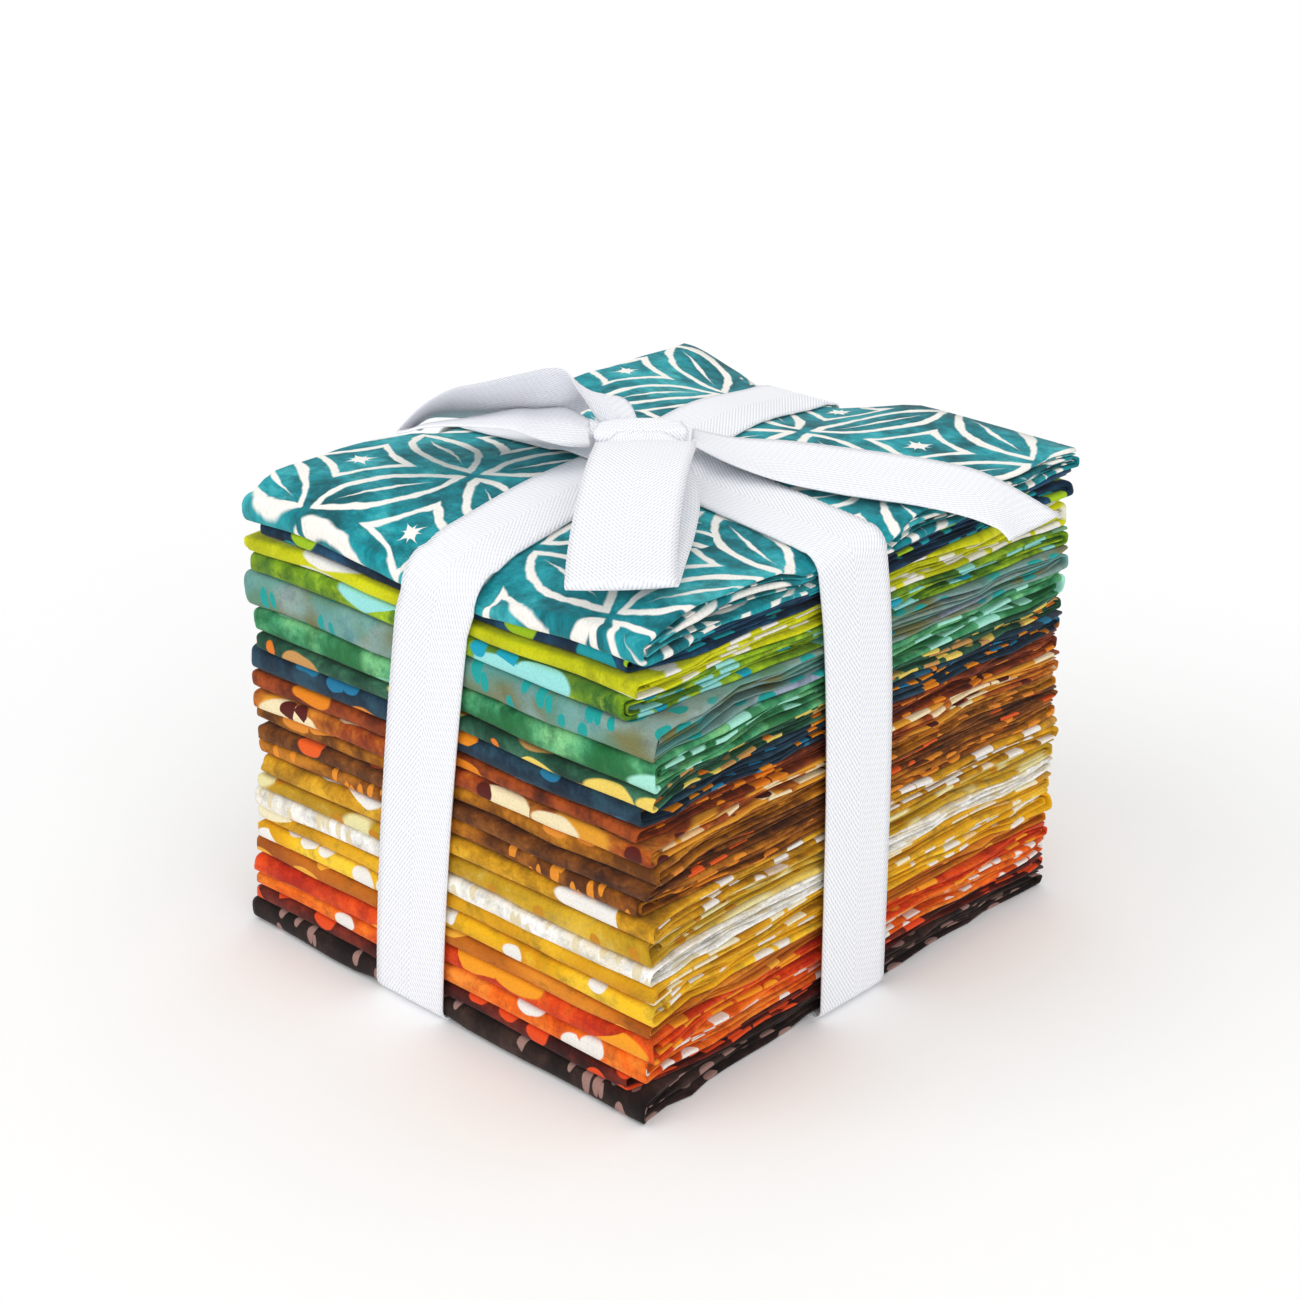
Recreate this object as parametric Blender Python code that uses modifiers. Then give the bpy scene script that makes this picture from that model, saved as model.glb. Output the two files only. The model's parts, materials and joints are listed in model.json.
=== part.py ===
# Bundle of twenty-three folded fat quarters, tied both ways with one-inch twill ribbon and a bow.
# Each fat quarter is a strip of three plies folded in three again, so one rounded fold faces -Y
# and the cut ends of its layers face +X. The origin lies under the middle of the stack.
import math

import bmesh
import bpy
from mathutils import Vector

MM = 0.001

# Sizes in millimetres
STACK_X = 142.0           # side along the rounded folds
STACK_Y = 167.0           # side along the layered ends
GAP = 0.3                 # clearance between neighbouring pieces and between runs
STRIP_MAX = 1.6           # thickness of a folded strip where there is room for it
MIDDLE_SET_BACK = 1.2     # how far the middle run's ends lie inside the other two
TUCKED_END = 1.0          # from the face fold's centre to the middle run's end
LOOSE_END = 0.6           # how far the top run stops short at the back
BACK_SET_BACK = 1.0       # how far the inner folds stay inside the stack's back
STATION_SPACE = 2.0       # least room between a fold and the next station
OUTER_X = (-44.0, 42.0)   # stations where the runs bend, besides those of the pinch
OUTER_Y = (-60.0, 50.0)
CROWN = 0.6               # rise of the stack's middle, each way
SHOULDER_DROP = 2.6       # how far the top piece rolls down towards its fold
SHOULDER_REACH = 14.0
RIBBON_WIDTH = 25.4       # one-inch tape
RIBBON_THICK = 1.0
RIBBON_STEP = RIBBON_THICK + GAP
FOLD_STEPS = 5
TURN_STEPS = 3

# Where the two bands lie. They cross under the knot, lean a little over the top and
# wander down the faces to their feet.
CROSSING_X = -3.5
CROSSING_Y = -5.5
LENGTHWAYS_FOOT_X = -11.0
CROSSWAYS_FOOT_Y = -5.0
LENGTHWAYS_LEANS = (0.115, 0.22)   # drift over the top per millimetre, before and past the knot
CROSSWAYS_LEANS = (0.07, 0.07)
BAND_BEND = 8.0           # depth of the bends at the stack's edges
FOOT_REACH = 44.0         # stations of a band's underside, each side of the middle
KNOT_LENGTH = 26.0
KNOT_WIDTH = 15.0
KNOT_HALF_HEIGHT = 4.0
KNOT_TAPER = 0.25         # share by which its ends are drawn in
LIFT = 0.1                # extra clearance of the bands over the top

# How far the tied bands squeeze the top edges of the stack down, and how far that reaches
PINCH = 6.0
PINCH_FLAT = 16.0
PINCH_SIDE_REACH = 46.0
PINCH_INWARD_REACH = 52.0

# Fat quarters from the top down. left, near, right: thickness at those three corners.
# out: how far the rounded fold stands out of the face. side: shift along X.
FAT_QUARTER_COLUMNS = ("colour", "left", "near", "right", "out", "side")
FAT_QUARTERS = [
    ((0.03, 0.34, 0.37), 11.0, 9.5, 5.5, 0.6, 0.6),
    ((0.02, 0.06, 0.13), 4.2, 4.15, 7.4, -0.8, 0.2),
    ((0.62, 0.66, 0.04), 4.2, 4.6, 8.8, 0.0, -0.4),
    ((0.28, 0.42, 0.05), 5.6, 6.2, 5.4, 0.4, 0.0),
    ((0.17, 0.33, 0.32), 10.4, 8.6, 6.8, 0.5, 0.5),
    ((0.08, 0.36, 0.20), 7.0, 8.0, 7.2, 0.2, 0.1),
    ((0.03, 0.14, 0.08), 4.15, 4.2, 5.0, 0.6, -0.5),
    ((0.02, 0.07, 0.10), 7.2, 5.8, 5.4, 0.0, 0.3),
    ((0.26, 0.10, 0.05), 5.0, 4.2, 6.4, -0.3, -0.2),
    ((0.36, 0.13, 0.05), 5.8, 4.6, 6.2, 0.3, 0.0),
    ((0.42, 0.21, 0.04), 4.15, 5.2, 4.15, -1.2, -0.7),
    ((0.22, 0.09, 0.03), 4.6, 4.4, 4.15, 0.1, -0.3),
    ((0.30, 0.13, 0.03), 4.15, 5.5, 5.4, -0.4, 0.3),
    ((0.48, 0.32, 0.05), 6.2, 4.8, 7.0, 0.2, 0.1),
    ((0.58, 0.46, 0.10), 4.2, 7.0, 5.8, 0.5, -0.3),
    ((0.80, 0.75, 0.62), 6.4, 4.8, 4.6, 0.6, 0.4),
    ((0.75, 0.42, 0.05), 4.15, 5.6, 5.2, -0.5, 0.0),
    ((0.78, 0.47, 0.07), 5.4, 5.4, 6.7, 0.2, -0.4),
    ((0.60, 0.25, 0.03), 5.6, 4.15, 4.15, 0.0, -0.8),
    ((0.80, 0.13, 0.02), 6.0, 6.2, 4.15, 0.4, -0.6),
    ((0.85, 0.22, 0.03), 4.2, 6.8, 5.2, 0.0, -1.0),
    ((0.25, 0.04, 0.02), 4.6, 4.15, 4.15, -0.4, -1.2),
    ((0.07, 0.03, 0.02), 6.7, 6.6, 6.6, 0.3, -1.5),
]
FAT_QUARTER_ROWS = [dict(zip(FAT_QUARTER_COLUMNS, row)) for row in FAT_QUARTERS]
LAST = len(FAT_QUARTER_ROWS) - 1
STACK_HEIGHT = sum((row["left"] + row["right"]) / 2 for row in FAT_QUARTER_ROWS)

# The bow is laid out on the stack's diagonals: right is towards the right corner and
# near towards the near corner, with up measured from the knot's middle.
# Each row is a section of ribbon: its upper edge, then the way down to its lower edge
# as a lean from upright towards far, a skew in plan, and the width gathered there.
SECTION_COLUMNS = ("right", "near", "up", "lean", "skew", "width")
LEFT_LOOP = [
    (-10.5, 1.0, 6.8, 68, 22, 15.0),
    (-12.5, 3.5, 10.0, 70, 17, 23.0),
    (-16.5, 2.5, 14.2, 67, 14, 25.4),
    (-19.5, 1.0, 17.2, 61, 5, 25.4),
    (-25.0, 0.0, 17.8, 54, 0, 25.4),
    (-38.0, -1.5, 14.8, 48, 0, 25.4),
    (-47.0, -2.0, 12.8, 48, 0, 25.4),
    (-53.0, -1.0, 9.4, 58, -6, 25.4),
    (-56.5, 1.5, 5.6, 66, -14, 25.4),
    (-58.0, 5.0, 2.8, 72, -18, 25.4),
    (-55.5, 8.0, 3.8, 69, -12, 25.4),
    (-48.5, 9.0, 8.0, 60, 0, 25.4),
    (-39.0, 10.0, 11.2, 53, 0, 25.4),
    (-28.0, 10.5, 12.6, 49, 0, 25.4),
    (-19.0, 9.0, 10.6, 47, 0, 22.0),
    (-13.8, 6.5, 7.2, 45, 0, 14.0),
]
# The near loop lies flat. Each row is its middle line and the tilt of its width in degrees.
FLAT_COLUMNS = ("right", "near", "up", "turn", "tilt", "width")
NEAR_LOOP = [
    (0.5, 7.4, 1.5, 0, 0, 15.0),
    (1.0, 15.0, 4.8, 0, 0, 21.0),
    (0.5, 27.0, 6.6, 0, 0, 25.4),
    (-2.0, 45.0, 5.6, -3, 0, 25.4),
    (-4.5, 65.0, 2.4, -5, 0, 25.4),
    (-6.0, 82.0, -1.0, -4, 0, 25.4),
    (-6.5, 93.5, -2.6, -3, 0, 25.4),
    (-6.6, 96.0, -3.6, -3, 0, 25.4),
    (-6.0, 93.5, -4.8, -3, 0, 25.4),
    (-4.0, 80.0, -4.9, -2, 0, 25.4),
    (-1.0, 60.0, -4.6, 2, 0, 25.4),
    (1.0, 40.0, -4.0, 3, 0, 25.4),
    (1.5, 24.0, -2.6, 0, 0, 23.0),
    (0.5, 7.6, -1.8, 0, 0, 15.0),
]
TAIL = [
    (13.3, 1.0, -0.6, 94, 0, 12.0),
    (23.0, 8.0, -2.0, 96, 0, 20.0),
    (36.0, 12.5, -3.4, 97, -6, 24.0),
    (52.0, 17.0, -4.8, 98, -8, 25.4),
    (70.0, 22.5, -5.8, 99, -8, 25.4),
    (82.0, 27.0, -7.2, 101, -8, 25.4),
    (90.0, 30.0, -9.8, 103, -6, 25.4),
    (96.0, 31.5, -13.0, 106, -4, 25.4),
]
TAIL_SLANT = 7.0          # how much longer the tail's far edge is cut

RIBBON_WHITE = (0.86, 0.88, 0.91)


def clear_scene():
    for old in list(bpy.data.objects):
        bpy.data.objects.remove(old, do_unlink=True)


def make_collection(name):
    collection = bpy.data.collections.new(name)
    bpy.context.scene.collection.children.link(collection)
    return collection


def cloth_material(name, colour, roughness=0.9):
    material = bpy.data.materials.new(name)
    material.use_nodes = True
    shader = material.node_tree.nodes["Principled BSDF"]
    shader.inputs["Base Color"].default_value = (*colour, 1.0)
    shader.inputs["Roughness"].default_value = roughness
    shader.inputs["Metallic"].default_value = 0.0
    return material


def corner_blend(row, x, y):
    """A fat quarter's thickness at a place, blended from its corners."""
    across = x / STACK_X + 0.5
    along = y / STACK_Y + 0.5
    back = (row["left"] + row["right"]) / 2
    front_edge = row["left"] * (1 - across) + row["near"] * across
    back_edge = back * (1 - across) + row["right"] * across
    return front_edge * (1 - along) + back_edge * along


def crown_share(x, y):
    return math.cos(math.pi * x / STACK_X) + math.cos(math.pi * y / STACK_Y)


def fade(distance, flat, reach):
    """One inside the flat part, falling smoothly to nothing at the reach."""
    t = (abs(distance) - flat) / (reach - flat)
    t = min(1.0, max(0.0, t))
    return 1.0 - t * t * (3.0 - 2.0 * t)


def pinch(x, y):
    """How far the bands squeeze the top of the stack down at a place."""
    along_y = fade(x - CROSSING_X, PINCH_FLAT, PINCH_SIDE_REACH)
    along_y *= fade(STACK_Y / 2 - abs(y), 0.0, PINCH_INWARD_REACH)
    along_x = fade(y - CROSSING_Y, PINCH_FLAT, PINCH_SIDE_REACH)
    along_x *= fade(STACK_X / 2 - abs(x), 0.0, PINCH_INWARD_REACH)
    return PINCH * (along_x + along_y)


def level(index, x, y):
    """Height of the boundary above fat quarter number index; LAST + 1 is the surface below."""
    if index == LAST + 1:
        groove = ribbon_groove(x - LENGTHWAYS_FOOT_X) + ribbon_groove(y - CROSSWAYS_FOOT_Y)
        return groove - GAP / 2
    height = sum(corner_blend(row, x, y) for row in FAT_QUARTER_ROWS[index:])
    whole = sum(corner_blend(row, x, y) for row in FAT_QUARTER_ROWS)
    height += (CROWN * crown_share(x, y) - pinch(x, y)) * height / whole
    if index == 0:
        past = -STACK_Y / 2 + SHOULDER_REACH - y
        height -= SHOULDER_DROP * max(0.0, past / SHOULDER_REACH) ** 1.5
    return height


def groove_edges(middle, spare=0.8):
    """Outer and inner stations of a step that goes round a band's edges."""
    half = RIBBON_WIDTH / 2 + spare
    slope = 4.0
    return [middle - half - slope, middle - half, middle + half, middle + half + slope]


def ribbon_groove(distance):
    inner = groove_edges(0)[2]
    outer = groove_edges(0)[3]
    share = (outer - abs(distance)) / (outer - inner)
    return RIBBON_STEP * min(1.0, max(0.0, share))


def half_turn(centre_y, centre_z, radius, start, steps):
    """Points strictly inside a half circle, from the start angle on, turning by -180 degrees."""
    points = []
    for step in range(1, steps):
        angle = math.radians(start - 180.0 * step / steps)
        points.append((centre_y + radius * math.cos(angle), centre_z + radius * math.sin(angle)))
    return points


def strip_section(index, x, thick, stations):
    """Middle line of the folded strip at one x, from the tucked end to the loose top end.

    Each point is (y, z, set_back), where set_back pulls the middle run's ends in.
    """
    row = FAT_QUARTER_ROWS[index]
    front = -STACK_Y / 2 - row["out"]
    back = STACK_Y / 2 - BACK_SET_BACK + row["out"] / 2

    def heights(y):
        low = level(index + 1, x, y) + (GAP + thick) / 2
        high = level(index, x, y) - (GAP + thick) / 2
        return low, (low + high) / 2, high

    front_low, front_middle, front_high = heights(front + thick)
    big = (front_high - front_low) / 2
    front_y = front + thick / 2 + big
    back_low, back_middle, back_high = heights(back)
    small = (back_middle - back_low) / 2
    back_y = back - thick / 2 - small
    inside = [y for y in stations if front_y + STATION_SPACE < y < back_y - STATION_SPACE]

    middle_run = [(front_y + TUCKED_END, front_middle, 1.0)]
    middle_run += [(y, heights(y)[1], 1.0) for y in inside]
    middle_run.append((back_y, back_middle, 1.0))
    inner_fold = [(y, z, 0.5) for y, z in
                  half_turn(back_y, back_low + small, small, 90.0, TURN_STEPS)]
    low_run = [(back_y, back_low, 0.0)]
    low_run += [(y, heights(y)[0], 0.0) for y in reversed(inside)]
    low_run.append((front_y, front_low, 0.0))
    face_fold = [(y, z, 0.0) for y, z in
                 half_turn(front_y, front_low + big, big, 270.0, FOLD_STEPS)]
    high_run = [(front_y, front_high, 0.0)]
    high_run += [(y, heights(y)[2], 0.0) for y in inside]
    high_run.append((back - LOOSE_END, back_high, 0.0))
    return middle_run + inner_fold + low_run + face_fold + high_run


def grid_mesh(name, rows, closed=False):
    """A sheet from rows of points that all have the same length, in millimetres.

    Every cell is split from its low corner to its high one, so neighbouring layers nest.
    """
    mesh = bpy.data.meshes.new(name)
    work = bmesh.new()
    grid = [[work.verts.new(Vector(point) * MM) for point in row] for row in rows]
    last = len(grid) if closed else len(grid) - 1
    for i in range(last):
        here = grid[i]
        there = grid[(i + 1) % len(grid)]
        for j in range(len(here) - 1):
            a, b, c, d = here[j], there[j], there[j + 1], here[j + 1]
            if d.co.y < a.co.y:
                a, b, c, d = b, c, d, a
            work.faces.new((a, b, c))
            work.faces.new((a, c, d))
    bmesh.ops.recalc_face_normals(work, faces=work.faces)
    work.to_mesh(mesh)
    work.free()
    return mesh


def add_sheet(name, rows, thick, colour, collection, closed=False):
    """A thin sheet of cloth: an open grid thickened by Solidify about its middle."""
    sheet = bpy.data.objects.new(name, grid_mesh(name, rows, closed))
    collection.objects.link(sheet)
    sheet.data.materials.append(cloth_material(name + "_cloth", colour))
    shell = sheet.modifiers.new("thickness", "SOLIDIFY")
    shell.thickness = thick * MM
    shell.offset = 0.0
    return sheet


def x_stations(index):
    if index == LAST:
        return groove_edges(LENGTHWAYS_FOOT_X) + [OUTER_X[1]]
    return [OUTER_X[0], CROSSING_X - PINCH_FLAT, CROSSING_X + PINCH_FLAT, OUTER_X[1]]


def y_stations(index):
    if index == LAST:
        return groove_edges(CROSSWAYS_FOOT_Y)
    return [OUTER_Y[0], CROSSING_Y - PINCH_FLAT, CROSSING_Y + PINCH_FLAT, OUTER_Y[1]]


def resting_height(x, y):
    """Top of the stack between its own stations, where a ribbon comes to lie."""
    xs = [-STACK_X / 2] + x_stations(0) + [STACK_X / 2]
    ys = [-STACK_Y / 2 + STRIP_MAX] + y_stations(0) + [STACK_Y / 2]
    x = max(xs[0], min(xs[-1], x))
    y = max(ys[0], min(ys[-1], y))
    i = max(k for k in range(len(xs) - 1) if xs[k] <= x)
    j = max(k for k in range(len(ys) - 1) if ys[k] <= y)
    across = (x - xs[i]) / (xs[i + 1] - xs[i])
    along = (y - ys[j]) / (ys[j + 1] - ys[j])
    near_edge = level(0, xs[i], ys[j]) * (1 - across) + level(0, xs[i + 1], ys[j]) * across
    far_edge = level(0, xs[i], ys[j + 1]) * (1 - across) + level(0, xs[i + 1], ys[j + 1]) * across
    return near_edge * (1 - along) + far_edge * along


def add_fat_quarter(index, collection):
    row = FAT_QUARTER_ROWS[index]
    thinnest = min(row["left"], row["near"], row["right"])
    if index == LAST:
        thinnest -= 2 * RIBBON_STEP
    else:
        thinnest *= 1.0 - PINCH / STACK_HEIGHT
    thick = min(STRIP_MAX, (thinnest - 3 * GAP) / 3)
    ends = [-STACK_X / 2 + row["side"], STACK_X / 2 + row["side"]]
    rows = []
    for x in [ends[0]] + x_stations(index) + [ends[1]]:
        pull = MIDDLE_SET_BACK * ((x == ends[0]) - (x == ends[1]))
        section = strip_section(index, x, thick, y_stations(index))
        rows.append([(x + pull * set_back, y, z) for y, z, set_back in section])
    return add_sheet(f"fat_quarter_{index + 1:02d}", rows, thick, row["colour"], collection)


def arc(centre, radius, start, stop, steps):
    """Points of an arc as (along, z), ends included."""
    points = []
    for step in range(steps + 1):
        angle = math.radians(start + (stop - start) * step / steps)
        points.append((centre[0] + radius * math.cos(angle), centre[1] + radius * math.sin(angle)))
    return points


def band_loop(low, high, foot, top_points, bends):
    """Closed path round the stack from the middle of its underside, as (along, z).

    bends holds the radii at the low foot, high foot, high top and low top.
    """
    low_foot, high_foot, high_bend, low_bend = bends
    low_top = top_points[0][1]
    high_top = top_points[-1][1]
    floor = RIBBON_THICK / 2
    path = list(foot)
    path += arc((high - high_foot, high_foot + floor), high_foot, -90, 0, 3)
    path += arc((high - high_bend, high_top - high_bend), high_bend, 0, 90, 3)
    path += top_points[-2:0:-1]
    path += arc((low + low_bend, low_top - low_bend), low_bend, 90, 180, 4)
    path += arc((low + low_foot, low_foot + floor), low_foot, 180, 270, 3)
    return path


def drift(along, z, half, crossing, leans, foot, power):
    """Sideways place of a band's middle line round the stack.

    crossing is (along, across) where the bands cross, leans the drift before and beyond it,
    and power shapes the way down the faces.
    """
    inside = max(-half, min(half, along)) - crossing[0]
    over_top = crossing[1] - leans[inside > 0.0] * inside
    share = min(1.0, z / level(0, CROSSING_X, CROSSING_Y))
    if abs(along) > half - BAND_BEND:
        return foot + (over_top - foot) * share ** power
    return over_top if share > 0.5 else foot


def band_rest(first, second):
    """Mean height and half difference of the stack's top under a band's two edges."""
    heights = (resting_height(*first), resting_height(*second))
    return (heights[0] + heights[1]) / 2, (heights[0] - heights[1]) / 2


def add_lengthways_band(collection):
    """The band along Y: down the rounded folds, beneath, and up the back."""
    clear = GAP + RIBBON_THICK / 2
    half = RIBBON_WIDTH / 2
    low = -STACK_Y / 2 - max(row["out"] for row in FAT_QUARTER_ROWS) - clear
    high = STACK_Y / 2 + clear
    crossing = (CROSSING_Y, CROSSING_X)

    def middle(y, z):
        return drift(y, z, STACK_Y / 2, crossing, LENGTHWAYS_LEANS, LENGTHWAYS_FOOT_X, 1.4)

    def rest(y):
        x = middle(y, STACK_HEIGHT)
        return band_rest((x - half, y), (x + half, y))

    tops = [(y, rest(y)[0] + clear + LIFT) for y in [low] + y_stations(0) + [high]]
    foot = [(y, RIBBON_THICK / 2) for y in (-FOOT_REACH, 0.0, FOOT_REACH)]
    path = band_loop(low, high, foot, tops, (4.0, 3.0, 2.0, 4.2))
    rows = []
    for y, z in path:
        x = middle(y, z)
        tilt = rest(y)[1] if z > STACK_HEIGHT / 2 else 0.0
        rows.append([(x - half, y, z + tilt), (x + half, y, z - tilt)])
    return add_sheet("ribbon_lengthways", rows, RIBBON_THICK, RIBBON_WHITE, collection, True)


def add_crossways_band(collection):
    """The band along X, which steps over the other one above and beneath the stack."""
    clear = GAP + RIBBON_THICK / 2
    half = RIBBON_WIDTH / 2
    low = -STACK_X / 2 + min(row["side"] for row in FAT_QUARTER_ROWS) - clear
    high = STACK_X / 2 + max(row["side"] for row in FAT_QUARTER_ROWS) + clear
    crossing = (CROSSING_X, CROSSING_Y)

    def middle(x, z):
        return drift(x, z, STACK_X / 2, crossing, CROSSWAYS_LEANS, CROSSWAYS_FOOT_Y, 4.0)

    def rest(x):
        y = middle(x, STACK_HEIGHT)
        return band_rest((x, y + half), (x, y - half))

    over = groove_edges(CROSSING_X - 1.0, 3.0)
    stations = [low, x_stations(0)[0]] + over + [x_stations(0)[-1], high]
    tops = [(x, rest(x)[0] + clear + LIFT + (x in over[1:3]) * RIBBON_STEP) for x in stations]
    under = groove_edges(LENGTHWAYS_FOOT_X)
    foot = [(x, RIBBON_THICK / 2 + (x in under[1:3]) * RIBBON_STEP)
            for x in [-FOOT_REACH] + under + [FOOT_REACH]]
    path = band_loop(low, high, foot, tops, (clear, clear, clear, clear))
    rows = []
    for x, z in path:
        y = middle(x, z)
        tilt = rest(x)[1] if z > STACK_HEIGHT / 2 else 0.0
        rows.append([(x, y + half, z + tilt), (x, y - half, z - tilt)])
    return add_sheet("ribbon_crossways", rows, RIBBON_THICK, RIBBON_WHITE, collection, True)


def knot_middle():
    rise = level(0, CROSSING_X, CROSSING_Y) + 2 * (LIFT + RIBBON_STEP) + GAP + KNOT_HALF_HEIGHT
    return Vector((CROSSING_X, CROSSING_Y, rise))


def bow_point(right, near, up):
    """From the bow's diagonals to the bundle's axes."""
    diagonal = math.sqrt(0.5)
    shift = Vector(((right + near) * diagonal, (right - near) * diagonal, up))
    return knot_middle() + shift


def smooth_rows(table, columns, per_span):
    """Rows read from a smooth curve through the table's own rows."""
    values = [dict(zip(columns, row)) for row in table]
    out = []
    for i in range(len(values) - 1):
        before = values[max(i - 1, 0)]
        after = values[min(i + 2, len(values) - 1)]
        for step in range(per_span):
            t = step / per_span
            mixed = {}
            for key in columns:
                p0, p1, p2, p3 = before[key], values[i][key], values[i + 1][key], after[key]
                mixed[key] = 0.5 * (2 * p1 + (p2 - p0) * t + (2 * p0 - 5 * p1 + 4 * p2 - p3) * t * t
                                    + (3 * p1 - p0 - 3 * p2 + p3) * t ** 3)
            out.append(mixed)
    out.append(values[-1])
    return out


def add_left_loop(collection):
    rows = []
    for row in smooth_rows(LEFT_LOOP, SECTION_COLUMNS, 2):
        lean = math.radians(row["lean"])
        skew = math.radians(row["skew"])
        down = Vector((math.sin(lean) * math.sin(skew), -math.sin(lean) * math.cos(skew),
                       -math.cos(lean))) * row["width"]
        upper = (row["right"], row["near"], row["up"])
        lower = (upper[0] + down.x, upper[1] + down.y, upper[2] + down.z)
        rows.append([bow_point(*upper), bow_point(*lower)])
    return add_sheet("ribbon_loop_left", rows, RIBBON_THICK, RIBBON_WHITE, collection)


def flat_rows(table, per_span, slant=0.0):
    """Ribbon sections across a middle line: turn is the heading of the width, seen from above."""
    sections = smooth_rows(table, FLAT_COLUMNS, per_span)
    rows = []
    for row in sections:
        turn = math.radians(row["turn"])
        tilt = math.radians(row["tilt"])
        half = row["width"] / 2
        side = Vector((math.cos(turn) * math.cos(tilt), math.sin(turn) * math.cos(tilt),
                       math.sin(tilt))) * half
        middle = (row["right"], row["near"], row["up"])
        first = [middle[i] - side[i] for i in range(3)]
        second = [middle[i] + side[i] for i in range(3)]
        if slant and row is sections[-1]:
            first[0] += slant
            first[2] -= slant * 0.6
            second[0] -= slant * 0.4
        rows.append([bow_point(*first), bow_point(*second)])
    return rows


def add_near_loop(collection):
    rows = flat_rows(NEAR_LOOP, 2)
    return add_sheet("ribbon_loop_near", rows, RIBBON_THICK, RIBBON_WHITE, collection)


def add_tail(collection):
    rows = flat_rows(TAIL, 2, TAIL_SLANT)
    return add_sheet("ribbon_tail", rows, RIBBON_THICK, RIBBON_WHITE, collection)


def add_knot(collection):
    """The wrap of ribbon that holds the bow: a soft form from a coarse cage, drawn in at its ends."""
    cage = bmesh.new()
    bmesh.ops.create_cube(cage, size=1.0)
    bmesh.ops.subdivide_edges(cage, edges=cage.edges, cuts=1, use_grid_fill=True)
    for vert in cage.verts:
        taper = 1.0 - KNOT_TAPER * abs(vert.co.x) * 2
        vert.co = Vector((vert.co.x * KNOT_LENGTH, vert.co.y * KNOT_WIDTH * taper,
                          vert.co.z * 2.1 * KNOT_HALF_HEIGHT * taper)) * MM
    mesh = bpy.data.meshes.new("ribbon_knot")
    cage.to_mesh(mesh)
    cage.free()
    knot = bpy.data.objects.new("ribbon_knot", mesh)
    collection.objects.link(knot)
    knot.location = knot_middle() * MM
    knot.rotation_euler.z = math.radians(45.0)
    mesh.materials.append(cloth_material("ribbon_knot_cloth", RIBBON_WHITE))
    soften = knot.modifiers.new("soften", "SUBSURF")
    soften.levels = 1
    soften.render_levels = 1
    mesh.shade_smooth()
    return knot


def build():
    clear_scene()
    collection = make_collection("fat_quarter_bundle")
    for index in range(len(FAT_QUARTER_ROWS)):
        add_fat_quarter(index, collection)
    add_lengthways_band(collection)
    add_crossways_band(collection)
    add_knot(collection)
    add_left_loop(collection)
    add_near_loop(collection)
    add_tail(collection)


build()
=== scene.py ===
import json
import math
import bpy
import numpy as np
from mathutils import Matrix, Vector

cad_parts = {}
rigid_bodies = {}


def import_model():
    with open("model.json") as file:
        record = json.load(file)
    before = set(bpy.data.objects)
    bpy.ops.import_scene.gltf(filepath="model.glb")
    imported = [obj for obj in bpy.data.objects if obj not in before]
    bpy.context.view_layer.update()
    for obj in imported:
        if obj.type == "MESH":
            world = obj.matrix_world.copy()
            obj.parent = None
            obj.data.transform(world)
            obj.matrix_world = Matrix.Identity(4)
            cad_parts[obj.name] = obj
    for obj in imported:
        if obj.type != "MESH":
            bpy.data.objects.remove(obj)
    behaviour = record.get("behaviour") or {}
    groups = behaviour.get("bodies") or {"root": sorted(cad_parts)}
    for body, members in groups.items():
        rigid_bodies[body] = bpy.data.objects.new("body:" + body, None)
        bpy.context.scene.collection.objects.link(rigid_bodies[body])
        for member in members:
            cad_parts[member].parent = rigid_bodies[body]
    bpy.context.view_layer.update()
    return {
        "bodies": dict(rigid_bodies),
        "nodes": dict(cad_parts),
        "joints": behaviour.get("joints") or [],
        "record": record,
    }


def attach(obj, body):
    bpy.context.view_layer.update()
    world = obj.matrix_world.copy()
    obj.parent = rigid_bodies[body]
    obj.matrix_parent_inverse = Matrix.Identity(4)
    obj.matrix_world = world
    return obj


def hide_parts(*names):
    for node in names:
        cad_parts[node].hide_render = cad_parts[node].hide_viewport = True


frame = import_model()
mm = 0.001
print("frame loaded:", len(frame["nodes"]), "nodes")

shot = dict(azimuth=43.5, elevation=23.3, distance=0.742, target=(-0.0310, 0.0271, 0.060), lens=72.0)


def placeCamera(shot):
    az, el = math.radians(shot["azimuth"]), math.radians(shot["elevation"])
    back = Vector((math.sin(az) * math.cos(el), -math.cos(az) * math.cos(el), math.sin(el)))
    data = bpy.data.cameras.new("shotCamera")
    data.lens = shot["lens"]
    data.sensor_width = 36.0
    camera = bpy.data.objects.new("shotCamera", data)
    bpy.context.scene.collection.objects.link(camera)
    camera.location = Vector(shot["target"]) + back * shot["distance"]
    camera.rotation_mode = "QUATERNION"
    camera.rotation_quaternion = (-back).to_track_quat("-Z", "Y")
    bpy.context.scene.camera = camera


placeCamera(shot)
bpy.context.scene.view_settings.view_transform = "Standard"  # keeps the dyes as bright as in daylight


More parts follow.
